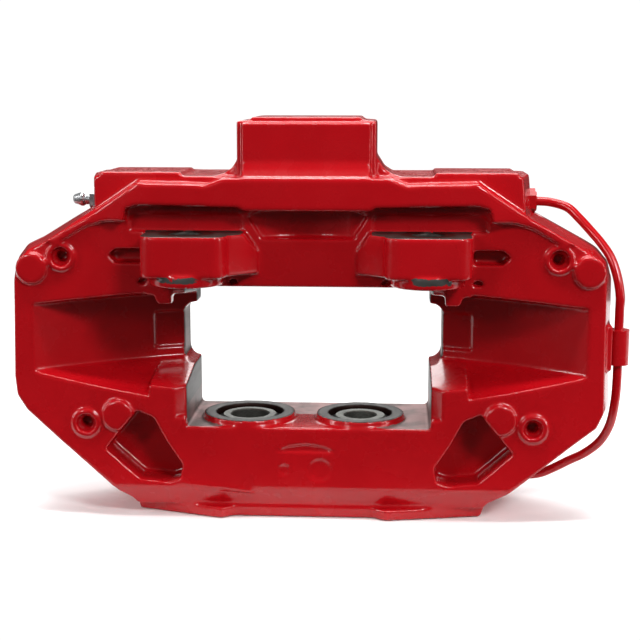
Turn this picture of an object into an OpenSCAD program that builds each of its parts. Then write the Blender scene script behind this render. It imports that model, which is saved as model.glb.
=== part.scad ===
// Fixed four-piston brake caliper with axial mounting ears and an external crossover pipe.
// Millimetres. The origin is midway between the two ear bolt axes, on the ears' inboard faces.
// +Z points inboard along the piston axes, +X along the disc's rim and +Y away from the hub.

/* [Mounting ears] */
// Distance between the two ear bolt axes
ear_spacing = 123; // [122:1:126]
// Half of an ear's width
ear_half = 22; // [20:0.5:23]
// Radius of the bolt hole through an ear
ear_hole_r = 8.25; // [6:0.25:8.25]
// Height of an ear along its bolt
ear_h = 26; // [24:1:28]
// Distance from the ears' inboard face to the middle of the disc
ear_to_disc = 55.5; // [54:0.5:57]

/* [Body] */
// Where the flat face towards the hub lies
front_y = 4; // [2:1:6]
// Outer radius of the two end bridges, about the hub
bridge_r = 232; // [230:1:235]
// Height of the outboard rest face below the middle of the disc
rest_z = 98; // [96:1:100]
// Height of the inboard shoulder above the middle of the disc
shoulder_z = 84; // [81:1:85]
// Height of the top block above the middle of the disc
block_z = 114; // [110:0.5:116]

/* [Disc slot] */
// Radius of the slot's back wall, about the hub
slot_r = 205; // [203:0.5:207]
// Half of the slot's width at its back wall
slot_half = 18; // [16:0.5:18.5]
// Distance from the ear bolts to the hub's centre, towards the hub
hub_y = 141; // [139:1:143]

/* [Pad window] */
// Half of the window's width between the bridges
window_half = 71.5; // [70.5:0.5:72]
// How far each pad abutment stands into the window
abutment_w = 7; // [6:0.5:8]
// Distance from the middle of the disc to each pad pocket's floor
pad_floor = 48; // [47.5:0.5:49]

/* [Pistons] */
// Radius of the two left pistons
piston_r_left = 16; // [15.5:0.25:16.5]
// Radius of the two right pistons
piston_r_right = 15; // [14.5:0.25:15.5]
// Length of a piston
piston_len = 25.5; // [24.5:0.5:26]
// Radial running clearance of a piston in its bore
piston_gap = 0.05; // [0.02:0.01:0.08]
// Distance from the ear bolts to the piston axes
piston_y = 29; // [28.5:0.5:31]

/* [Fluid fittings] */
// Radius of the crossover pipe
pipe_r = 2.4; // [2.2:0.1:2.6]
// Radius of the bleeder's thread
bleeder_r = 4; // [3.5:0.5:4]
// Hexagon of the bleeder screw, across its flats
bleeder_hex = 11; // [9:1:11]
// Hexagon of the pipe nuts, across their flats
nut_hex = 12; // [11:1:12]

/* [Hidden] */
$fn = 64;
eps = 0.01;
far = 400;

paint_red = [0.72, 0.03, 0.05];
bare_metal = [0.55, 0.55, 0.53];
rubber_black = [0.06, 0.06, 0.06];
steel = [0.75, 0.75, 0.76];

// Piston layout: side is 1 inboard and -1 outboard, hand is 0 left and 1 right
piston_x = [-33, 27];
piston_r = [piston_r_left, piston_r_right];
inboard = 1;
outboard = -1;
left = 0;
right = 1;

// Cylinder mouth, counted from the middle of the disc
boss_rise = 3.5;
boss_wall = 8.8;
mouth_z = pad_floor - boss_rise;
rim_z = mouth_z + 1.5;
boot_depth = 7;
boot_wall = 2;
seal_z = mouth_z + boot_depth + 0.8;
seal_h = 3.2;
seal_wall = 3;
seal_play = 0.05;
bore_end_z = 74;

// Piston details, with depths counted from its rim
cavity_radii = [10.2, 8.6];
cavity_depth = 18;
nose_step = 1.2;
groove_top = 2.5;
groove_end = 4.9;
groove_depth = 1.6;
rim_round = 0.6;
end_round = 1;

// Boot details, with depths counted from the piston's rim
boot_top = 2;
boot_bottom = 5.4;
lip_top = 2.7;
lip_end = 4.3;
lip_depth = 1.5;

// Body stations
front_wall = 8;
front_lip_z = 27;
pocket_back_y = 66;
bridge_back_y = 92;
band_front_y = -6;
ear_front_y = -22;
ear_back_y = 11;
ear_bolt_y = -4.5;
ear_corner_r = 8;
ear_ring_h = 5;
ear_ring_r = 19;
ear_web_x = 36;
ear_bottom_z = ear_to_disc - ear_h;
seat_wall_y = 5.2;
foot_h = 6;
window_low_z = -21;
window_high_z = 11;
window_corner_r = 5;
tab_low_z = 17.5;

// Fluid passages
passage_r = 2.2;
feed_r = 1.7;
passage_y = 42;
passage_in_z = 69;
passage_out_z = -82;
port_left_x = -116;
port_right_x = 115.2;
port_out_x = 111;
port_r = 5;
port_depth = 12;
inlet_x = -84;
inlet_r = 4.5;
inlet_depth = 12;
inlet_y = 74;
spot_r = 9;
clip_z = -5;
clip_h = 18.5;
clip_r = 5.5;
clip_pad_x = 158;
run_x = 162;
run_y = 18;
nut_h = 3.8;
nut_collar = 0.8;
thread_play = 0.05;
pipe_play = 0.1;

// Front outline, as [x, z] from the middle of the disc
outline = [
    [-110, shoulder_z], [-110, 67], [-138, 49], [-146, 45.5], [-151, 39], [-153.5, 30],
    [-155, -22], [-154, -32], [-149, -40], [-132, -56], [-100.5, -84.5], [-94, -88.5],
    [-91, -rest_z + 6], [-90, -rest_z], [90, -rest_z], [92, -rest_z + 6], [94, -89],
    [104.5, -83], [117.5, -72.5], [138, -55.5], [150, -46], [153.5, -38], [152.5, 30],
    [150, 39], [144, 45.5], [137, 49.5], [111, 64], [109, shoulder_z]
];

// The sides widen by this share from the front face to draft_y, as cast sides do
draft = 1.055;
draft_y = 36;

// An [x, z] outline drawn out along Y
module slab(points, y0, y1) {
    translate([0, y1, 0])
        rotate([90, 0, 0])
            linear_extrude(y1 - y0)
                polygon(points);
}

// A [y, z] outline drawn out along X
module slab_x(points, x0, x1) {
    translate([x0, 0, 0])
        rotate([90, 0, 90])
            linear_extrude(x1 - x0)
                polygon(points);
}

// An [x, y] outline drawn out along Z
module slab_z(points, z0, z1) {
    translate([0, 0, z0])
        linear_extrude(z1 - z0)
            polygon(points);
}

// A rectangle's outline with round corners
function rounded(low, high, r) = [
    for (q = [0 : 3], a = [0 : 22.5 : 90])
        let (x = (q == 0 || q == 3) ? high[0] - r : low[0] + r, z = q < 2 ? high[1] - r : low[1] + r)
            [x + r * cos(90 * q + a), z + r * sin(90 * q + a)]
];

// A front outline drawn out along Y, growing sideways on the way back by a factor
module drafted_slab(points, y0, y1, growth) {
    n = len(points);
    front = [for (p = points) [p[0], y0, p[1]]];
    back = [for (p = points) [p[0] * growth, y1, p[1]]];
    sides = [for (i = [0 : n - 1]) let (k = (i + 1) % n) each [[i, k, k + n], [i, k + n, i + n]]];
    caps = [[for (i = [n - 1 : -1 : 0]) i], [for (i = [0 : n - 1]) i + n]];
    polyhedron(concat(front, back), concat(sides, caps));
}

// A box from its low corner to its high corner
module box(low, high) {
    translate(low)
        cube(high - low);
}

// A cylinder along X, Y or Z from a start point
module rod_x(at, r, length) {
    translate(at)
        rotate([0, 90, 0])
            cylinder(r = r, h = length);
}

module rod_y(at, r, length) {
    translate(at)
        rotate([-90, 0, 0])
            cylinder(r = r, h = length);
}

module rod_z(at, r, length) {
    translate(at)
        cylinder(r = r, h = length);
}

// A turned shape from its profile, with [radius, height] steps, along Z
module turned(steps) {
    rotate_extrude()
        polygon(concat([[0, steps[0][1]]], steps, [[0, steps[len(steps) - 1][1]]]));
}

module turned_x(at, steps) {
    translate(at)
        rotate([0, 90, 0])
            turned(steps);
}

module turned_y(at, steps) {
    translate(at)
        rotate([-90, 0, 0])
            turned(steps);
}

// Children of a cylinder, drawn inboard about the Z axis, then placed
module at_cylinder(side, hand) {
    translate([piston_x[hand], piston_y, 0])
        mirror([0, 0, side == outboard ? 1 : 0])
            children();
}

// Moves from the casting's own frame, in the middle of the disc, to the mounting origin
module from_disc() {
    translate([0, -ear_bolt_y, -ear_to_disc])
        children();
}

// ---- Body ----

// Plan of the main casting: an arc about the hub, cut flat at the hub side and behind the window
module main_plan() {
    intersection() {
        translate([0, -hub_y])
            circle(r = bridge_r, $fn = 200);
        polygon([
            [-180, front_y], [180, front_y], [180, bridge_back_y], [92, bridge_back_y],
            [62, pocket_back_y], [-62, pocket_back_y], [-92, bridge_back_y], [-180, bridge_back_y]
        ]);
    }
}

module main_casting() {
    intersection() {
        union() {
            drafted_slab(outline, front_y, draft_y, draft);
            slab([for (p = outline) [p[0] * draft, p[1]]], draft_y - eps, bridge_back_y + 1);
        }
        translate([0, 0, -rest_z - 1])
            linear_extrude(rest_z + shoulder_z + 2)
                main_plan();
    }
}

// Raised pads on the inboard shoulder
pad_x = 86;
pad_half_x = 21;
pad_rise = 2;

// Outer end of the forward step, which thins down along the sloping edge
module band_end(s) {
    intersection() {
        slab([
            [s * 86, 81.2], [s * 111, 64.6], [s * 136, 50.4], [s * 131, 48.5], [s * 116, 57.5],
            [s * 106, 61], [s * 94, 61.5], [s * 92.5, 68], [s * 86, 69.9]
        ], -far, far);
        slab_z([
            [s * 86, band_front_y], [s * 91, band_front_y], [s * 110, front_y - 3],
            [s * 138, front_y - 1.5], [s * 138, front_y + 1], [s * 86, front_y + 1]
        ], 40, 90);
    }
}

// The forward step above the ears and its raised top pads
module upper_band() {
    for (s = [-1, 1]) {
        slab([
            [s * 86.5, 81.2], [s * 51, 80.2], [s * 42, 83.5], [0, 83.5], [0, 67], [s * 32, 67],
            [s * 35, 68.7], [s * 86.5, 69.9]
        ], band_front_y, front_y + 1);
        band_end(s);
        box([s * pad_x - pad_half_x, front_y, shoulder_z - 1],
            [s * pad_x + pad_half_x, 50, shoulder_z + pad_rise]);
    }
}

module top_block() {
    slab([
        [-36, shoulder_z - 1], [-36, block_z - 2], [-29, block_z - 1.6], [-28, block_z],
        [27, block_z], [28, block_z - 1.6], [35, block_z - 2], [35, shoulder_z - 1]
    ], 3, 50);
    slab([
        [-33, shoulder_z - 4], [-33, block_z - 3], [32, block_z - 3], [32, shoulder_z - 4]
    ], -0.5, 3 + eps);
    for (s = [-1, 1])
        slab([
            [s * 33, shoulder_z - 1], [s * 33, shoulder_z + 13], [s * 36.5, shoulder_z + 8],
            [s * 39, shoulder_z + 4], [s * 43, shoulder_z + 1.4], [s * 52, shoulder_z - 1]
        ], 6, 44);
    // the block's front flares out to the band
    slab_x([[3, 93], [-0.5, 91.5], [-2, 88], [band_front_y, 82], [3, 80]], -33, 32);
}

// An ear with round front corners, a ring under it and a web towards the middle
module ear(s) {
    x = s * ear_spacing / 2;
    low_z = ear_bottom_z + ear_ring_h;
    corner = ear_half - ear_corner_r;
    difference() {
        union() {
            box([x - corner, ear_front_y, low_z], [x + corner, ear_back_y, ear_to_disc]);
            box([x - ear_half, ear_front_y + ear_corner_r, low_z], [x + ear_half, ear_back_y, ear_to_disc]);
            for (side = [-1, 1])
                rod_z([x + side * corner, ear_front_y + ear_corner_r, low_z], ear_corner_r,
                    ear_to_disc - low_z);
            rod_z([x, ear_bolt_y, ear_bottom_z], ear_ring_r, ear_ring_h + 1);
            slab_z([
                [x, ear_front_y + 4], [x - s * 20, ear_front_y + 7], [x - s * ear_web_x, front_y - 2],
                [x - s * ear_web_x, ear_back_y], [x, ear_back_y]
            ], low_z, ear_to_disc);
        }
        // slanted end of the web
        slab([[s * 20, 45], [s * 25, 45], [s * 33, ear_to_disc + 1], [s * 20, ear_to_disc + 1]], -far, far);
        // the ear keeps to the thickness of the wall behind it
        box([x - far, ear_back_y, 0], [x + far, far, ear_to_disc + 1]);
    }
}

// Bolt hole through an ear
module ear_hole(s) {
    x = s * ear_spacing / 2;
    rod_z([x, ear_bolt_y, ear_bottom_z - 1], ear_hole_r, ear_h + 1 + eps);
}

// Shallow recess in the wall over an ear's seat
module seat_recess(s) {
    slab([
        [s * 33, ear_to_disc], [s * 33, 62.5], [s * 35.5, 65], [s * 89, 65], [s * 92.5, 61.5],
        [s * 92.5, ear_to_disc]
    ], -far, seat_wall_y);
}

// Raised round pads and counterbored holes at the four corners, as [x, z]
corner_pads = [[-144, 36], [144, 36], [-100.5, -42], [100.5, -42]];
corner_holes = [[-128.5, 42], [128.5, 42], [-117.5, -46.5], [117.5, -46.5]];
corner_pad_r = 8.2;
corner_ring_r = 7.4;
corner_ring_rise = 1.6;
corner_bore_r = 5;
corner_hole_r = 3;
corner_bore_depth = 1.5;
corner_hole_depth = 8;
corner_pad_rise = 2.8;

module corner_pads_proud() {
    for (p = corner_pads)
        rod_y([p[0], front_y - corner_pad_rise, p[1]], corner_pad_r, 8);
    for (p = corner_holes)
        rod_y([p[0], front_y - corner_ring_rise, p[1]], corner_ring_r, 8);
}

module corner_hole_cuts() {
    for (p = corner_holes)
        turned_y([p[0], front_y, p[1]], [
            [corner_bore_r, -4], [corner_bore_r, corner_bore_depth],
            [corner_hole_r, corner_bore_depth], [corner_hole_r, corner_hole_depth]
        ]);
}

// The groove that the disc turns in, turned about the hub
module disc_slot() {
    translate([0, -hub_y, 0])
        rotate_extrude($fn = 200)
            polygon([
                [90, slot_half + 15], [slot_r, slot_half - 1], [slot_r, -slot_half - 1],
                [90, -slot_half - 22]
            ]);
    // flare towards the hub, outside the window's front posts
    for (s = [-1, 1])
        intersection() {
            translate([0, -hub_y, 0])
                rotate_extrude($fn = 200)
                    polygon([
                        [90, 38], [slot_r - 0.4, slot_half - 1.2], [slot_r - 0.4, -slot_half - 1.2],
                        [90, -58]
                    ]);
            slab([
                [s * 81, -60], [s * 84, -25], [s * 84, 25], [s * 81, 40], [s * 200, 40],
                [s * 200, -60]
            ], -200, 100);
        }
}

module window_cuts() {
    pad_half = window_half - abutment_w;
    bevel = 6.3;
    panel_depth = 1.5;
    // between the bridges, over the disc
    slab(rounded([-window_half, window_low_z], [window_half, window_high_z], window_corner_r), -far, far);
    // outboard pad pocket, open to the hub side
    box([-pad_half, -far, -pad_floor], [pad_half, far, 0]);
    // inboard pad pocket, behind the front wall
    box([-pad_half, front_y + front_wall, 0], [pad_half, far, pad_floor]);
    // below the front wall
    box([-pad_half, -far, 0], [pad_half, front_y + front_wall + 1, front_lip_z]);
    for (s = [-1, 1]) {
        // bevelled inner corner of each front post, down to a small step
        slab_z([
            [s * (pad_half + bevel), front_y - 1], [s * (pad_half + bevel), front_y],
            [s * (pad_half - 1), front_y + bevel + 1], [s * (pad_half - 1), front_y - 1]
        ], -43, tab_low_z + 12);
        // shallow panel in the slot's back wall, beside the window
        intersection() {
            translate([0, -hub_y, -13.5])
                cylinder(r = slot_r + panel_depth, h = 20.5, $fn = 200);
            slab([[s * 70, -20], [s * 70, 20], [s * 87.5, 20], [s * 87.5, -20]], 20, 60);
        }
    }
}

// Red tabs that hang beside the window, under the front wall
module window_tabs() {
    for (s = [-1, 1])
        slab([
            [s * 71, 32], [s * 71, tab_low_z], [s * 78, tab_low_z], [s * 79.2, tab_low_z + 2],
            [s * 80.5, 25], [s * 84, 29]
        ], front_y, front_y + 9);
}

module piston_bore(side, hand) {
    bore = piston_r[hand] + piston_gap;
    mouth = piston_r[hand] + boot_wall;
    groove = piston_r[hand] + seal_wall;
    at_cylinder(side, hand)
        turned([
            [mouth, mouth_z - 1], [mouth, mouth_z + boot_depth], [bore, mouth_z + boot_depth],
            [bore, seal_z], [groove, seal_z], [groove, seal_z + seal_h], [bore, seal_z + seal_h],
            [bore, bore_end_z]
        ]);
}

module piston_boss(side, hand) {
    at_cylinder(side, hand)
        rod_z([0, 0, mouth_z], piston_r[hand] + boss_wall, boss_rise + 2);
}

// Triangular lightening pockets in the outboard half, and the slots beside the ears
module pocket_cuts() {
    for (s = [-1, 1]) {
        slab([
            [s * 90.5, -39.5], [s * 81.5, -43.5], [s * 75, -56], [s * 66.5, -69], [s * 68, -76.5],
            [s * 74, -78.5], [s * 89, -77], [s * 96, -71], [s * 107.5, -60.5]
        ], -far, front_y + 18);
        slab([
            [s * 85, 39], [s * 85, 46.5], [s * 100, 46.5], [s * 104, 43], [s * 100, 39]
        ], -far, front_y + 8);
    }
}

// The outboard face slopes back to a foot whose front edge is bent twice
module foot_cuts() {
    top_z = -rest_z + foot_h;
    slab_x([[-20, -81], [front_y - eps, -81], [front_y + 6, top_z + 1], [front_y + 6, top_z], [-20, top_z]],
        -far, far);
    slab_z([
        [-far, -50], [far, -50], [far, 15], [93, 15], [41, front_y - eps], [34, front_y + 5],
        [-39, front_y + 5], [-46, front_y - eps], [-91, 19], [-far, 19]
    ], -rest_z - 2, top_z + eps);
}

mark_z = -70.5;
mark_depth = 0.8;

// Small nicks in the front wall's lower edge, beside the ears, as distances from the middle
nick_x = [39.5, 86.5];

module nick_cuts() {
    for (s = [-1, 1], x = nick_x)
        slab([[s * x - 3, 28], [s * x, 31], [s * x + 3.5, 30.5], [s * x + 3, 28]], -far, front_y + 4);
}

// Low rib on the outboard face's lower left
module rib() {
    slab([[-70, -76.8], [-48, -79.6], [-30, -82.4], [-28.5, -84], [-48, -81.6], [-70, -78.8]],
        front_y - 0.35, front_y + 6);
}

// Dimple and two blank casting marks between the cylinders
module mark_cuts() {
    slab([[-17.5, -61], [-10, -57.6], [-1, -56.3], [8, -57.6], [16, -61]], -far, front_y + 1.4);
    // each mark as [x, radius]
    for (m = [[-12.5, 3.2], [6.5, 6.2]])
        rod_y([m[0], front_y - 5, mark_z], m[1], 5 + mark_depth);
}

scoop_r = 41;
scoop_depth = 13;

// Scoop under the band, between the ears
module scoop_cut() {
    slab([[-31, 64], [-23.5, 52], [23.5, 52], [31, 64], [24, 67], [-24, 67]], -far, front_y + 2);
    rod_z([0, scoop_depth - scoop_r, 52], scoop_r, 15);
}

// Inboard drilling from the bleeder to the pipe, outboard drilling, and the inlet
module passage_cuts() {
    turned_x([0, passage_y, passage_in_z], [
        [spot_r, port_left_x - 60], [spot_r, port_left_x], [bleeder_r, port_left_x],
        [bleeder_r, port_left_x + 14], [passage_r, port_left_x + 14],
        [passage_r, port_right_x - port_depth], [port_r, port_right_x - port_depth],
        [port_r, port_right_x], [spot_r, port_right_x], [spot_r, port_right_x + 60]
    ]);
    turned_x([0, passage_y, passage_out_z], [
        [passage_r, piston_x[left]], [passage_r, port_out_x - port_depth],
        [port_r, port_out_x - port_depth], [port_r, port_out_x], [spot_r, port_out_x],
        [spot_r, port_out_x + 60]
    ]);
    for (x = piston_x)
        rod_z([x, passage_y - 3, passage_out_z - 3], feed_r, 20);
    turned_y([inlet_x, 0, passage_in_z], [
        [feed_r, passage_y], [feed_r, inlet_y - inlet_depth],
        [inlet_r, inlet_y - inlet_depth], [inlet_r, inlet_y + 10]
    ]);
}

// Flat pad on the right side, under the pipe clip
module clip_pad() {
    box([clip_pad_x - 10, run_y - 7, clip_z - 12], [clip_pad_x, run_y + 7, clip_z + 12]);
}

module caliper_body() {
    color(paint_red)
        from_disc()
            difference() {
                union() {
                    difference() {
                        union() {
                            main_casting();
                            upper_band();
                            top_block();
                            corner_pads_proud();
                            clip_pad();
                        }
                        disc_slot();
                        window_cuts();
                        pocket_cuts();
                        scoop_cut();
                        corner_hole_cuts();
                        foot_cuts();
                        mark_cuts();
                        nick_cuts();
                        for (s = [-1, 1])
                            seat_recess(s);
                    }
                    for (s = [-1, 1])
                        ear(s);
                    window_tabs();
                    rib();
                    for (side = [inboard, outboard], hand = [left, right])
                        piston_boss(side, hand);
                }
                for (s = [-1, 1])
                    ear_hole(s);
                for (side = [inboard, outboard], hand = [left, right])
                    piston_bore(side, hand);
                passage_cuts();
            }
}

// ---- Pistons, seals and boots ----

module piston(side, hand) {
    r = piston_r[hand];
    cavity_r = cavity_radii[hand];
    nose_r = r - nose_step;
    color(bare_metal)
        from_disc()
            at_cylinder(side, hand)
                translate([0, 0, rim_z])
                    rotate_extrude()
                        polygon([
                            [0, piston_len], [r - end_round, piston_len], [r, piston_len - end_round],
                            [r, groove_end], [r - groove_depth, groove_end],
                            [r - groove_depth, groove_top], [nose_r, groove_top - nose_step],
                            [nose_r, rim_round], [nose_r - rim_round, 0],
                            [cavity_r + rim_round, 0], [cavity_r, rim_round],
                            [cavity_r, cavity_depth], [0, cavity_depth]
                        ]);
}

module seal(side, hand) {
    r = piston_r[hand];
    color(rubber_black)
        from_disc()
            at_cylinder(side, hand)
                translate([0, 0, seal_z + seal_play])
                    rotate_extrude()
                        translate([r + piston_gap, 0])
                            square([seal_wall - piston_gap - seal_play, seal_h - 2 * seal_play]);
}

// Outer bead in the cylinder's mouth, one fold, and an inner lip in the piston's groove
module dust_boot(side, hand) {
    r = piston_r[hand];
    outer = r + boot_wall - 0.02;
    lip = r - lip_depth;
    color(rubber_black)
        from_disc()
            at_cylinder(side, hand)
                translate([0, 0, rim_z])
                    rotate_extrude()
                        polygon([
                            [lip, lip_top], [r + 0.5, lip_top], [r + 1, boot_top], [outer, boot_top],
                            [outer, boot_bottom], [r + 0.9, boot_bottom],
                            [r + 0.9, boot_bottom - 1.8], [r + 0.3, lip_end], [lip, lip_end]
                        ]);
}

// ---- Fluid fittings ----

// A hexagon prism along X
module hex_x(at, flats, length) {
    translate(at)
        rotate([0, 90, 0])
            cylinder(r = flats / 2 / cos(30), h = length, $fn = 6);
}

// Bleeder screw: lengths and radii along its own axis
seat_len = 13.5;
neck_r = 3.4;
barb_r = 3.75;
bleeder_hex_h = 3.6;
bleeder_hole_r = 1.1;

module bleeder_screw() {
    thread = bleeder_r - 0.05;
    color(steel)
        from_disc()
            translate([port_left_x, passage_y, passage_in_z])
                rotate([0, -90, 0])
                    difference() {
                        union() {
                            rotate_extrude()
                                polygon([
                                    [0, -seat_len], [1.2, -seat_len], [thread, -10], [thread, -1],
                                    [neck_r, -0.4], [neck_r, 0.6], [0, 0.6]
                                ]);
                            translate([0, 0, 0.4])
                                cylinder(r = bleeder_hex / 2 / cos(30), h = bleeder_hex_h, $fn = 6);
                            rotate_extrude()
                                polygon([
                                    [0, 3.9], [neck_r, 3.9], [2.9, 4.6], [2.9, 7], [barb_r, 8.2],
                                    [barb_r, 9.4], [2.6, 13], [2.1, 13.6], [0, 13.6]
                                ]);
                        }
                        translate([0, 0, -8])
                            cylinder(r = bleeder_hole_r, h = 30);
                    }
}

// Centre line of the crossover pipe, from the inboard port to the outboard port
pipe_path = [
    [112, 42, 69], [121, 42, 69], [128, 41.5, 68.4], [136, 38.5, 66], [142, 35, 60.5],
    [147.5, 32, 54.5], [153, 28, 48], [157.5, 24.5, 41], [160.5, 21, 32], [run_x, run_y, 22],
    [run_x, run_y, 13], [run_x, run_y, -5], [run_x, run_y, -24], [161.5, 19.5, -36],
    [160, 23, -48], [156, 28, -58.5], [149, 33, -66.5], [141, 37, -72], [133, 40.5, -77.5],
    [126, 42, -81], [118, 42, -82], [107, 42, -82]
];
pipe_sides = 12;
pipe_steps = 4;

// Catmull-Rom points through the centre line
function spline_point(a, b, c, d, t) =
    0.5 * (2 * b + (c - a) * t + (2 * a - 5 * b + 4 * c - d) * t * t
        + (3 * b - a - 3 * c + d) * t * t * t);
function spline(p) = [
    for (i = [0 : len(p) - 2], k = [0 : pipe_steps - 1])
        spline_point(p[max(i - 1, 0)], p[i], p[i + 1], p[min(i + 2, len(p) - 1)], k / pipe_steps),
    p[len(p) - 1]
];
function unit(v) = v / norm(v);
function tangent(c, i) = unit(c[min(i + 1, len(c) - 1)] - c[max(i - 1, 0)]);

// A round tube along a list of points; side is a direction that no tangent meets
module sweep_tube(c, r, sides, side) {
    rings = len(c);
    points = [
        for (i = [0 : rings - 1])
            let (t = tangent(c, i), u = unit(cross(t, side)), v = cross(t, u))
                for (k = [0 : sides - 1])
                    c[i] + r * (cos(360 * k / sides) * u + sin(360 * k / sides) * v)
    ];
    walls = [
        for (i = [0 : rings - 2], k = [0 : sides - 1])
            let (n = (k + 1) % sides)
                [i * sides + k, i * sides + n, (i + 1) * sides + n, (i + 1) * sides + k]
    ];
    ends = [
        [for (k = [sides - 1 : -1 : 0]) k],
        [for (k = [0 : sides - 1]) (rings - 1) * sides + k]
    ];
    polyhedron(points, concat(walls, ends));
}

module crossover_pipe() {
    color(paint_red)
        from_disc()
            sweep_tube(spline(pipe_path), pipe_r, pipe_sides, [0, 1, 0]);
}

// A tube nut screwed into a port that faces +X
module pipe_nut(port_x, z) {
    color(paint_red)
        from_disc()
            difference() {
                union() {
                    rod_x([port_x - 9, passage_y, z], port_r - thread_play, 9.2);
                    hex_x([port_x + 0.1, passage_y, z], nut_hex, nut_h);
                    rod_x([port_x + nut_h, passage_y, z], nut_hex / 2 - 0.8, nut_collar);
                }
                rod_x([port_x - 10, passage_y, z], pipe_r + pipe_play, 20);
            }
}

// A sleeve round the pipe, cut flat where it sits on the casting's pad
module pipe_clip() {
    color(paint_red)
        from_disc()
            translate([0, 0, clip_z - clip_h / 2])
                difference() {
                    rod_z([run_x, run_y, 0], clip_r, clip_h);
                    rod_z([run_x, run_y, -1], pipe_r + pipe_play, clip_h + 2);
                    box([run_x - 10, run_y - 10, -1], [clip_pad_x + thread_play, run_y + 10, clip_h + 1]);
                }
}

caliper_body();
piston(inboard, left);  // piston_inboard_left
piston(inboard, right);  // piston_inboard_right
piston(outboard, left);  // piston_outboard_left
piston(outboard, right);  // piston_outboard_right
seal(inboard, left);  // seal_inboard_left
seal(inboard, right);  // seal_inboard_right
seal(outboard, left);  // seal_outboard_left
seal(outboard, right);  // seal_outboard_right
dust_boot(inboard, left);  // dust_boot_inboard_left
dust_boot(inboard, right);  // dust_boot_inboard_right
dust_boot(outboard, left);  // dust_boot_outboard_left
dust_boot(outboard, right);  // dust_boot_outboard_right
bleeder_screw();
crossover_pipe();
pipe_nut(port_right_x, passage_in_z);  // pipe_nut_inboard
pipe_nut(port_out_x, passage_out_z);  // pipe_nut_outboard
pipe_clip();
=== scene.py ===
import math

import bpy
import numpy as np
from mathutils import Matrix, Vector


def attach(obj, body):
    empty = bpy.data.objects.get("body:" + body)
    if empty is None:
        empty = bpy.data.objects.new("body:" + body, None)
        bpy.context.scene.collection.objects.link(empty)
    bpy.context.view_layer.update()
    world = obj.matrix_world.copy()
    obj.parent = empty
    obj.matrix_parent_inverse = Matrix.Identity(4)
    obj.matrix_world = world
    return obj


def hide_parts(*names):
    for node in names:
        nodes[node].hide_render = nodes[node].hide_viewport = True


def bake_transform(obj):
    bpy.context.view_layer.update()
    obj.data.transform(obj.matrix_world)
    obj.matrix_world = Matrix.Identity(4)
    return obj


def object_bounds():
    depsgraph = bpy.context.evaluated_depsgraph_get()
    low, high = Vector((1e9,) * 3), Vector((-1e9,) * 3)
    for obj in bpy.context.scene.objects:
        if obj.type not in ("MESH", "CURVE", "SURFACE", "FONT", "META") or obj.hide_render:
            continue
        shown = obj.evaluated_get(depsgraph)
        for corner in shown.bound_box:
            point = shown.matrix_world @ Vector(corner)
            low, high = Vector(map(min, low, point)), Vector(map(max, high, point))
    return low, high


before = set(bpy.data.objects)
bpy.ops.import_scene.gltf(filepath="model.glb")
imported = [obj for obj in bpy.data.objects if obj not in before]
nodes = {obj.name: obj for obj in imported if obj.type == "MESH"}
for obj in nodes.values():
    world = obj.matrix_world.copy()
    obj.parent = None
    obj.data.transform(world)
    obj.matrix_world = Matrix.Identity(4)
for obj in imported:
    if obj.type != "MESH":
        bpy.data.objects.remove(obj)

cad_low, cad_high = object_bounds()
scene = bpy.context.scene

MM = 0.001

# The casting's own frame, in millimetres, has its origin in the middle of the disc between the ears:
# x to the right, y into the depth, and z inboard. The frame that everything is shown in has its origin
# between the ear bolts, on the ears' inboard faces.
EAR_BOLT_X = 61.5
EAR_BOLT_Y = -4.5
SEAT_Z = 55.5


def place(x, y, z):
    """A point of the casting's own frame, in millimetres, as metres in the shown frame."""
    return Vector((x, y - EAR_BOLT_Y, z - SEAT_Z)) * MM


# ---- Node helpers ----

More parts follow.
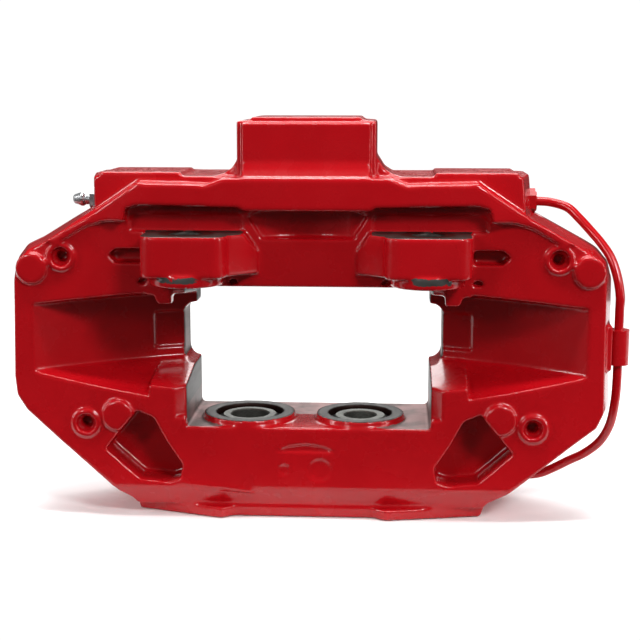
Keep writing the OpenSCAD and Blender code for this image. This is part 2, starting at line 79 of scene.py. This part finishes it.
class Tree:
    """A small writer for a material's node tree."""

    def __init__(self, name):
        self.material = bpy.data.materials.new(name)
        self.material.use_nodes = True
        self.tree = self.material.node_tree
        self.tree.nodes.clear()
        self.out = self.add("ShaderNodeOutputMaterial")
        self.coords = self.add("ShaderNodeTexCoord").outputs["Object"]

    def add(self, kind, **settings):
        node = self.tree.nodes.new(kind)
        for key, value in settings.items():
            setattr(node, key, value)
        return node

    def link(self, source, target):
        self.tree.links.new(source, target)

    def calc(self, operation, *values):
        """A number worked out from numbers or other sockets."""
        node = self.add("ShaderNodeMath", operation=operation)
        for socket, value in zip(node.inputs, values):
            if isinstance(value, (int, float)):
                socket.default_value = value
            else:
                self.link(value, socket)
        return node.outputs[0]

    def noise(self, scale, detail=3.0, roughness=0.5, stretch=None):
        """Noise over the surface, from 0 to 1, stretched along an axis if wanted."""
        vector = self.coords
        if stretch:
            mapping = self.add("ShaderNodeMapping")
            mapping.inputs["Scale"].default_value = stretch
            self.link(self.coords, mapping.inputs["Vector"])
            vector = mapping.outputs["Vector"]
        node = self.add("ShaderNodeTexNoise")
        node.inputs["Scale"].default_value = scale
        node.inputs["Detail"].default_value = detail
        node.inputs["Roughness"].default_value = roughness
        self.link(vector, node.inputs["Vector"])
        return node.outputs["Fac"]

    def ramp(self, value, low, high, to_low=0.0, to_high=1.0):
        """A smooth step from one level to another."""
        node = self.add("ShaderNodeMapRange")
        node.interpolation_type = "SMOOTHSTEP"
        self.link(value, node.inputs["Value"])
        node.inputs["From Min"].default_value = low
        node.inputs["From Max"].default_value = high
        node.inputs["To Min"].default_value = to_low
        node.inputs["To Max"].default_value = to_high
        return node.outputs["Result"]

    def mix(self, factor, a, b):
        """A colour between a and b."""
        node = self.add("ShaderNodeMix", data_type="RGBA")
        self.link(factor, node.inputs["Factor"])
        for key, value in (("A", a), ("B", b)):
            socket = [s for s in node.inputs if s.name == key and s.type == "RGBA"][0]
            if isinstance(value, tuple):
                socket.default_value = (*value, 1.0)
            else:
                self.link(value, socket)
        return [s for s in node.outputs if s.type == "RGBA"][0]

    def blend(self, factor, a, b):
        """A number between a and b."""
        node = self.add("ShaderNodeMix", data_type="FLOAT")
        self.link(factor, node.inputs["Factor"])
        for key, value in (("A", a), ("B", b)):
            socket = [s for s in node.inputs if s.name == key and s.type == "VALUE"][0]
            if isinstance(value, (int, float)):
                socket.default_value = value
            else:
                self.link(value, socket)
        return [s for s in node.outputs if s.type == "VALUE"][0]

    def attribute(self, name):
        return self.add("ShaderNodeAttribute", attribute_name=name).outputs["Fac"]

    def bump(self, height, strength, distance):
        node = self.add("ShaderNodeBump")
        node.inputs["Strength"].default_value = strength
        node.inputs["Distance"].default_value = distance
        self.link(height, node.inputs["Height"])
        return node.outputs["Normal"]

    def principled(self, **values):
        """Ends the tree in one shader. A plain value goes on the shader's own socket."""
        shader = self.add("ShaderNodeBsdfPrincipled")
        for key, value in values.items():
            socket = shader.inputs[key.replace("_", " ")]
            if isinstance(value, (int, float)):
                socket.default_value = value
            elif isinstance(value, tuple):
                socket.default_value = (*value, 1.0)
            else:
                self.link(value, socket)
        self.link(shader.outputs[0], self.out.inputs["Surface"])
        return self.material


# ---- Camera, lights and floor ----

def aim(obj, target):
    obj.rotation_euler = (Vector(target) - obj.location).to_track_quat("-Z", "Y").to_euler()


TURN = math.radians(3.39)
TILT = math.radians(9.75)
DISTANCE = 0.7225
TARGET = place(1, 33, 5)
LENS = 75.26
SHIFT_X = 0.01136

camera_data = bpy.data.cameras.new("camera")
camera_data.lens = LENS
camera_data.shift_x = SHIFT_X
camera = bpy.data.objects.new("camera", camera_data)
camera.location = TARGET + DISTANCE * Vector(
    (math.sin(TURN) * math.cos(TILT), -math.cos(TURN) * math.cos(TILT), math.sin(TILT))
)
aim(camera, TARGET)
scene.collection.objects.link(camera)
scene.camera = camera
scene.view_settings.view_transform = "Standard"


def area_light(name, place_at, target, width, height, power):
    data = bpy.data.lights.new(name, "AREA")
    data.shape = "RECTANGLE"
    data.size = width
    data.size_y = height
    data.energy = power
    light = bpy.data.objects.new(name, data)
    light.location = place_at
    aim(light, target)
    scene.collection.objects.link(light)


# name, place, point it faces, width, height, power. They are small, so that the paint shows narrow
# highlights along its edges. The long ones at the sides draw lines down the casting's flanks.
SOFTBOXES = [
    ("key_softbox", (0.75, -1.05, 0.85), (0, 0.03, -0.05), 0.3, 0.25, 13.5),
    ("fill_softbox", (-0.7, -1.1, 0.5), (0, 0.03, -0.05), 0.25, 0.25, 4),
    ("top_softbox", (0.0, -0.2, 1.1), (0, 0.03, -0.05), 0.9, 0.12, 11),
    ("floor_softbox", (0.0, 0.35, 1.2), (0, 0.3, -0.1), 1.2, 0.7, 12),
    ("left_softbox", (-1.0, -0.25, 0.35), (0, 0, -0.05), 0.12, 0.8, 4.5),
    ("right_softbox", (1.0, -0.25, 0.35), (0, 0, -0.05), 0.12, 0.8, 4.5),
    ("back_softbox", (0.0, 1.1, 0.6), (0, 0.05, -0.05), 1.0, 0.4, 6),
]
for softbox in SOFTBOXES:
    area_light(*softbox)

SEEN_WHITE = 1.05
ROOM_LIGHT = 0.06


def make_world():
    """Pure white behind the object, and a dim room for everything that lights or reflects."""
    world = bpy.data.worlds.new("studio")
    world.use_nodes = True
    tree = world.node_tree
    background = tree.nodes["Background"]
    seen = tree.nodes.new("ShaderNodeLightPath")
    strength = tree.nodes.new("ShaderNodeMapRange")
    strength.inputs["To Min"].default_value = ROOM_LIGHT
    strength.inputs["To Max"].default_value = SEEN_WHITE
    tree.links.new(seen.outputs["Is Camera Ray"], strength.inputs["Value"])
    tree.links.new(strength.outputs["Result"], background.inputs["Strength"])
    background.inputs["Color"].default_value = (1.0, 1.0, 1.0, 1.0)
    scene.world = world


make_world()


FLOOR_HALF = 0.8
FLOOR_FRONT = -0.03
FLOOR_BACK = 0.75
FLOOR_GAP = 0.0002


def make_floor():
    """A pale floor. It starts just in front of the object, so that the front faces don't mirror it."""
    left, right, level = -FLOOR_HALF, FLOOR_HALF, cad_low.z - FLOOR_GAP
    mesh = bpy.data.meshes.new("floor")
    corners = [
        (left, FLOOR_FRONT, level), (right, FLOOR_FRONT, level),
        (right, FLOOR_BACK, level), (left, FLOOR_BACK, level),
    ]
    mesh.from_pydata(corners, [], [(0, 1, 2, 3)])
    floor = bpy.data.objects.new("floor", mesh)
    scene.collection.objects.link(floor)
    tree = Tree("floor_white")
    tone = tree.mix(tree.noise(3.0), (0.88, 0.88, 0.88), (0.92, 0.92, 0.92))
    mesh.materials.append(tree.principled(Base_Color=tone, Roughness=0.8))


make_floor()


# ---- Materials ----

RED_DARK, RED_LIGHT = (0.385, 0.0022, 0.0055), (0.42, 0.0028, 0.0065)
METAL_DARK, METAL_LIGHT = (0.065, 0.063, 0.060), (0.105, 0.102, 0.096)
OVERSPRAY = (0.44, 0.27, 0.26)
# painted shade and grease: darkens the ears' seats and bolt holes, the rings' outer edges and the
# cylinders behind the boots
GREASE_AND_SHADE = (0.020, 0.008, 0.006)
CHIP_DARK, CHIP_LIGHT = (0.018, 0.017, 0.016), (0.075, 0.072, 0.068)
FRESH_METAL = (0.42, 0.41, 0.40)
PAINT_SPECULAR = 0.2
GRAIN_DEPTH = 0.0003


def red_layer(tree):
    """Colour and roughness of red enamel over a cast surface."""
    colour = tree.mix(tree.ramp(tree.noise(22.0), 0.35, 0.65), RED_DARK, RED_LIGHT)
    rough = tree.ramp(tree.noise(60.0, 4.0), 0.3, 0.7, 0.22, 0.30)
    return colour, rough


def red_paint(name, grain):
    tree = Tree(name)
    colour, rough = red_layer(tree)
    normal = tree.bump(tree.noise(330.0, 2.0), grain, GRAIN_DEPTH)
    return tree.principled(
        Base_Color=colour, Roughness=rough, Normal=normal, Specular_IOR_Level=PAINT_SPECULAR,
        Coat_Weight=0.45, Coat_Roughness=0.12,
    )


def body_material():
    """Red enamel, bare machined faces, overspray on the pad floors, grease and painted shade on the
    seats, bolt holes, ring edges and bores, and worn chips.

    Where each of them lies comes from the mesh's attributes, and noise breaks up their edges."""
    tree = Tree("red_enamel_and_machined_faces")
    red, rough = red_layer(tree)
    edge = tree.calc("MULTIPLY", tree.calc("SUBTRACT", tree.noise(160.0, 4.0, 0.6), 0.5), 0.35)
    bare = tree.ramp(tree.calc("ADD", tree.attribute("bare"), edge), 0.46, 0.54)
    clouds = tree.ramp(tree.noise(38.0, 4.0, 0.6), 0.35, 0.62, 0.25, 1.0)
    haze = tree.calc("MULTIPLY", tree.attribute("haze"), clouds)
    flake = tree.calc("MULTIPLY", tree.calc("SUBTRACT", tree.noise(95.0, 5.0, 0.65), 0.5), 2.2)
    chip = tree.ramp(tree.calc("ADD", tree.attribute("chip"), flake), 0.62, 0.72)
    cutter = tree.noise(260.0, 2.0, 0.5, (1.0, 0.12, 1.0))
    metal = tree.mix(tree.ramp(cutter, 0.3, 0.7), METAL_DARK, METAL_LIGHT)
    bare_colour = tree.mix(haze, metal, OVERSPRAY)
    # painted shade, with grease on the seats: the bare faces are darkened where the mesh's darkening
    # attribute marks them
    bare_colour = tree.mix(tree.attribute("darkening"), bare_colour, GREASE_AND_SHADE)
    worn = tree.mix(tree.noise(120.0, 3.0), CHIP_DARK, CHIP_LIGHT)
    scrape = tree.ramp(tree.calc("ADD", tree.attribute("scrape"), flake), 0.9, 1.0)
    colour = tree.mix(bare, red, bare_colour)
    colour = tree.mix(chip, colour, worn)
    colour = tree.mix(scrape, colour, FRESH_METAL)
    metallic = tree.calc("MULTIPLY", bare, 0.55)
    roughness = tree.blend(bare, rough, 0.46)
    grain = tree.blend(bare, tree.noise(330.0, 2.0), tree.calc("MULTIPLY", cutter, 0.5))
    coat = tree.blend(bare, 0.5, 0.0)
    return tree.principled(
        Base_Color=colour, Metallic=metallic, Roughness=roughness,
        Normal=tree.bump(grain, 0.13, GRAIN_DEPTH), Specular_IOR_Level=PAINT_SPECULAR,
        Coat_Weight=coat, Coat_Roughness=0.1,
    )


def metal_material(name, dark, light, roughness, stretch=(1.0, 1.0, 1.0), grime=0.0):
    """Metal with fine turning marks, and grime in patches if wanted."""
    tree = Tree(name)
    lines = tree.noise(500.0, 2.0, 0.5, stretch)
    colour = tree.mix(tree.ramp(lines, 0.3, 0.7), dark, light)
    if grime:
        darkening = tree.ramp(tree.noise(90.0, 4.0), 0.45, 0.75, 0.0, grime)
        colour = tree.mix(darkening, colour, (0.05, 0.045, 0.04))
    rough = tree.ramp(tree.noise(140.0, 3.0), 0.3, 0.7, roughness - 0.06, roughness + 0.06)
    return tree.principled(
        Base_Color=colour, Metallic=0.85, Roughness=rough, Normal=tree.bump(lines, 0.1, 0.0002),
    )


def rubber_material():
    tree = Tree("boot_rubber")
    colour = tree.mix(tree.noise(180.0), (0.006, 0.006, 0.006), (0.02, 0.019, 0.018))
    return tree.principled(
        Base_Color=colour, Roughness=0.55, Normal=tree.bump(tree.noise(700.0), 0.2, 0.0002),
    )


BODY = body_material()
PAINT = red_paint("red_enamel", 0.1)
PISTON = metal_material(
    "piston_anodised", (0.13, 0.134, 0.12), (0.20, 0.205, 0.185), 0.42, stretch=(1, 1, 6), grime=0.4
)
STEEL = metal_material("bleeder_zinc", (0.34, 0.35, 0.36), (0.55, 0.56, 0.57), 0.28)
RUBBER = rubber_material()


EDGE_RADIUS = 0.25


def cover(node, material):
    """Gives a CAD node a material and small rounded edges that catch the light."""
    piece = nodes[node]
    for slot in piece.material_slots:
        slot.material = material
    if not piece.material_slots:
        piece.data.materials.append(material)
    bevel = piece.modifiers.new("edges", "BEVEL")
    bevel.width = EDGE_RADIUS * MM
    bevel.segments = 2
    bevel.limit_method = "ANGLE"
    bevel.angle_limit = math.radians(35)
    bevel.harden_normals = True


# ---- Cast body ----

def apply_modifiers(piece):
    bpy.context.view_layer.objects.active = piece
    for modifier in list(piece.modifiers):
        with bpy.context.temp_override(object=piece, active_object=piece):
            bpy.ops.object.modifier_apply(modifier=modifier.name)


def points_of(mesh):
    flat = np.empty(len(mesh.vertices) * 3, np.float32)
    mesh.vertices.foreach_get("co", flat)
    return flat.reshape(-1, 3)


def write_attribute(mesh, name, values):
    attribute = mesh.attributes.new(name, "FLOAT", "POINT")
    attribute.data.foreach_set("value", values.astype(np.float32))


def inside(value, low, high):
    return (value > low) & (value < high)


def near(value, target, tolerance):
    return np.abs(value - target) < tolerance


# Sizes of the casting in its own frame, as in part.scad
PISTON_X = {"left": -33.0, "right": 27.0}
PISTON_R = {"left": 16.0, "right": 15.0}
PISTON_Y = 29.0
BOSS_WALL = 8.8
BOOT_WALL = 2.0
MOUTH_Z = 44.5
RIM_Z = 46.0
PAD_FLOOR_Z = 48.0
ABUTMENT_X = 64.5
WINDOW_X = 71.5
EAR_BOTTOM_Z = 29.5

# Worn spots on the ears' lower front: middle as (x, z), half width, half height
CHIPS = [((-64, 33.6), 13.5, 2.2), ((62, 33.6), 11, 2.4)]
CHIPS_Y = -10
SCRAPES = [((-62, 29.3), 9.5, 1.8)]
SCRAPES_Y = -8


def worn_spots(spots, x, z, in_front):
    """Soft-edged spots with flat middles, on the surface in front of a given depth."""
    amount = np.zeros(len(x), np.float32)
    for centre, half_width, height in spots:
        spot = np.exp(-(((x - centre[0]) / half_width) ** 4) - ((z - centre[1]) / height) ** 4)
        amount = np.maximum(amount, spot * in_front)
    return amount


def machined_masks(mesh):
    """Where the casting is bare, has overspray on it, is darkened by grease and painted shade, or has
    lost its paint.
    """
    p = points_of(mesh) / MM - np.array([0, -EAR_BOLT_Y, -SEAT_Z], np.float32)
    x, y, z = p[:, 0], p[:, 1], p[:, 2]
    ax, az = np.abs(x), np.abs(z)
    normals = np.empty(len(mesh.vertices) * 3, np.float32)
    mesh.vertex_normals.foreach_get("vector", normals)
    n = normals.reshape(-1, 3)
    up, side = n[:, 2], np.abs(n[:, 0])
    level = np.abs(up) > 0.7

    # the ears' seats and bolt holes, the faces that the pads slide on, and the window's end walls
    from_bolt = np.hypot(ax - EAR_BOLT_X, y - EAR_BOLT_Y)
    seat = near(z, SEAT_Z, 0.7) & (up > 0.75) & inside(ax, 33, 93) & (y < 6)
    throat = (from_bolt < 9.3) & inside(z, EAR_BOTTOM_Z - 0.5, SEAT_Z + 0.5)
    abutment = near(ax, ABUTMENT_X, 0.7) & (side > 0.8) & inside(y, 10, 70) & (az < PAD_FLOOR_Z)
    wall = near(ax, WINDOW_X, 0.7) & (side > 0.6) & (y > 40) & inside(z, -22, 12)
    bare = seat | throat | abutment | wall

    # the rings round the pistons, and the cylinders behind them
    ring_edge = np.zeros(len(x), bool)
    cylinder = np.zeros(len(x), bool)
    for hand in ("left", "right"):
        piston = PISTON_R[hand]
        radius = np.hypot(x - PISTON_X[hand], y - PISTON_Y)
        face = (radius < piston + BOSS_WALL - 0.5) & near(az, MOUTH_Z, 0.8) & level
        bore = (radius < piston + 3.4) & (az > MOUTH_Z - 0.6) & (az < 75)
        bare |= face | bore
        cylinder |= bore & (radius < piston + BOOT_WALL + 0.9) & (az > MOUTH_Z + 0.5)
        ring_edge |= face & (radius > piston + BOSS_WALL - 1.6)

    # the pad pockets' floors, less the painted strip in front between the cylinders
    floor = level & near(az, PAD_FLOOR_Z, 0.8) & (ax < 66) & inside(y, 6.5, 70)
    floor &= (y > 36) | (np.abs(x + 3) > 32)
    bare |= floor

    haze = np.where(floor, 0.85, 0.0)
    haze = np.where(wall, 0.35, haze)
    haze = np.where(abutment & (z < -38), 0.5, haze)

    # painted shade: the bolt holes, a dark ring round them on the seats, the rings' outer edges and
    # the cylinders behind the boots are darkened to stand in for shade; the seats' overall tint is
    # grease and painted shade together
    darkening = np.where(seat | throat, 0.7, 0.0) + np.where(seat & (from_bolt < 14), 0.3, 0.0)
    darkening = np.where(ring_edge, 0.85, darkening)
    darkening = np.where(cylinder, 1.0, darkening)

    chip = worn_spots(CHIPS, x, z, y < CHIPS_Y)
    scrape = worn_spots(SCRAPES, x, z, y < SCRAPES_Y)
    return {"bare": bare, "haze": haze, "darkening": darkening, "chip": chip, "scrape": scrape}


# The casting's rounded edges come from a remesh that is then smoothed
VOXEL = 0.8
SMOOTH_PASSES = 9


def cast_body():
    """The painted casting, from the CAD body's mesh, with its cast edges and its masks."""
    mesh = nodes["caliper_body"].data.copy()
    mesh.materials.clear()
    mesh.materials.append(BODY)
    piece = bpy.data.objects.new("cast_body", mesh)
    scene.collection.objects.link(piece)
    weld = piece.modifiers.new("weld", "WELD")
    weld.merge_threshold = 1e-6
    remesh = piece.modifiers.new("remesh", "REMESH")
    remesh.mode = "VOXEL"
    remesh.voxel_size = VOXEL * MM
    remesh.use_smooth_shade = True
    smooth = piece.modifiers.new("smooth", "SMOOTH")
    smooth.factor = 0.5
    smooth.iterations = SMOOTH_PASSES
    apply_modifiers(piece)
    for name, values in machined_masks(piece.data).items():
        write_attribute(piece.data, name, values)
    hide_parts("caliper_body")
    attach(piece, "caliper")


cast_body()


# ---- Turned and swept pieces ----

def new_piece(name, vertices, faces, material):
    """A mesh object whose sides are smooth and whose flat ends, if any, are not."""
    mesh = bpy.data.meshes.new(name)
    mesh.from_pydata(vertices, [], faces)
    mesh.materials.append(material)
    mesh.polygons.foreach_set("use_smooth", [len(f.vertices) == 4 for f in mesh.polygons])
    mesh.update()
    piece = bpy.data.objects.new(name, mesh)
    scene.collection.objects.link(piece)
    return piece


def lathe(name, centre, profile, side, material, segments=96):
    """A closed ring from a profile of [radius, depth] points, turned about a cylinder's axis.

    Depth is counted from the piston's rim into the bore."""
    count = len(profile)
    vertices, faces = [], []
    for k in range(segments):
        a = 2 * math.pi * k / segments
        for r, depth in profile:
            z = side * (RIM_Z + depth)
            vertices.append(place(centre[0] + r * math.cos(a), centre[1] + r * math.sin(a), z))
    for k in range(segments):
        here, there = k * count, (k + 1) % segments * count
        for i in range(count):
            j = (i + 1) % count
            quad = (here + i, here + j, there + j, there + i)
            faces.append(quad if side > 0 else quad[::-1])
    return new_piece(name, vertices, faces, material)


BOOT_HALF_SKIN = 0.2
BOOT_PLAY = 0.05


def boot(side_name, hand):
    """A dust boot's folded skin, from its lip in the piston's groove to its bead in the cylinder."""
    side = 1 if side_name == "inboard" else -1
    r = PISTON_R[hand]
    outer = r + BOOT_WALL - BOOT_PLAY
    # the middle of the skin, as radius and depth below the piston's rim
    spine = [
        (r - 1.4, 2.95), (r - 0.4, 2.95), (r + 0.2, 2.5), (r + 0.55, 2.75), (r + 0.45, 3.5),
        (r + 0.8, 3.7), (r + 1.05, 3.3), (r + 1.1, 2.5), (outer - 0.45, 2.3), (outer - 0.25, 2.7),
        (outer - 0.25, 4.6),
    ]
    front, back = [], []
    for i, (pr, pd) in enumerate(spine):
        a = spine[max(i - 1, 0)]
        b = spine[min(i + 1, len(spine) - 1)]
        length = math.hypot(b[0] - a[0], b[1] - a[1])
        nr, nd = -(b[1] - a[1]) / length, (b[0] - a[0]) / length
        front.append((pr + nr * BOOT_HALF_SKIN, pd + nd * BOOT_HALF_SKIN))
        back.append((pr - nr * BOOT_HALF_SKIN, pd - nd * BOOT_HALF_SKIN))
    bead = [(outer, 5.2), (outer - 0.2, 5.35), (r + 1.1, 5.35), (r + 1.1, 4.9)]
    profile = front + bead + back[::-1][1:]
    centre = (PISTON_X[hand], PISTON_Y)
    piece = lathe(f"dust_boot_{side_name}_{hand}_skin", centre, profile, side, RUBBER)
    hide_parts(f"dust_boot_{side_name}_{hand}")
    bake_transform(piece)


for side_name in ("inboard", "outboard"):
    for hand in ("left", "right"):
        boot(side_name, hand)
        cover(f"piston_{side_name}_{hand}", PISTON)
        cover(f"seal_{side_name}_{hand}", RUBBER)

cover("bleeder_screw", STEEL)
cover("pipe_nut_inboard", PAINT)
cover("pipe_nut_outboard", PAINT)
cover("pipe_clip", PAINT)


# ---- Crossover pipe ----

PIPE_R = 2.4

# The pipe's middle line from the inboard nut to the outboard one, in the casting's own frame
PIPE_ROUTE = [
    (112, 42, 69), (121, 42, 69), (128, 41.5, 68.4), (136, 38.5, 66), (142, 35, 60.5),
    (147.5, 32, 54.5), (153, 28, 48), (157.5, 24.5, 41), (160.5, 21, 32), (162, 18, 22),
    (162, 18, 13), (162, 18, -5), (162, 18, -24), (161.5, 19.5, -36), (160, 23, -48),
    (156, 28, -58.5), (149, 33, -66.5), (141, 37, -72), (133, 40.5, -77.5), (126, 42, -81),
    (118, 42, -82), (107, 42, -82),
]


def smooth_route(points, steps):
    """A Catmull-Rom curve through the points."""
    route = []
    last = len(points) - 1
    for i in range(last):
        a, b, c, d = (Vector(points[min(max(k, 0), last)]) for k in (i - 1, i, i + 1, i + 2))
        for k in range(steps):
            t = k / steps
            route.append(
                0.5 * (2 * b + (c - a) * t + (2 * a - 5 * b + 4 * c - d) * t * t
                       + (3 * b - a - 3 * c + d) * t ** 3)
            )
    route.append(Vector(points[-1]))
    return route


def tube(name, route, radius, sides, material):
    """A round tube along a route, closed at both ends."""
    vertices, faces = [], []
    across = Vector((0, 1, 0))
    for i, point in enumerate(route):
        along = (route[min(i + 1, len(route) - 1)] - route[max(i - 1, 0)]).normalized()
        u = along.cross(across).normalized()
        v = along.cross(u)
        for k in range(sides):
            a = 2 * math.pi * k / sides
            vertices.append(place(*(point + radius * (math.cos(a) * u + math.sin(a) * v))))
    for i in range(len(route) - 1):
        for k in range(sides):
            n = (k + 1) % sides
            faces.append((i * sides + k, i * sides + n, (i + 1) * sides + n, (i + 1) * sides + k))
    faces.append(tuple(range(sides - 1, -1, -1)))
    faces.append(tuple(range((len(route) - 1) * sides, len(route) * sides)))
    return new_piece(name, vertices, faces, material)


pipe = tube("crossover_pipe_smooth", smooth_route(PIPE_ROUTE, 6), PIPE_R, 28, PAINT)
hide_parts("crossover_pipe")
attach(pipe, "caliper")
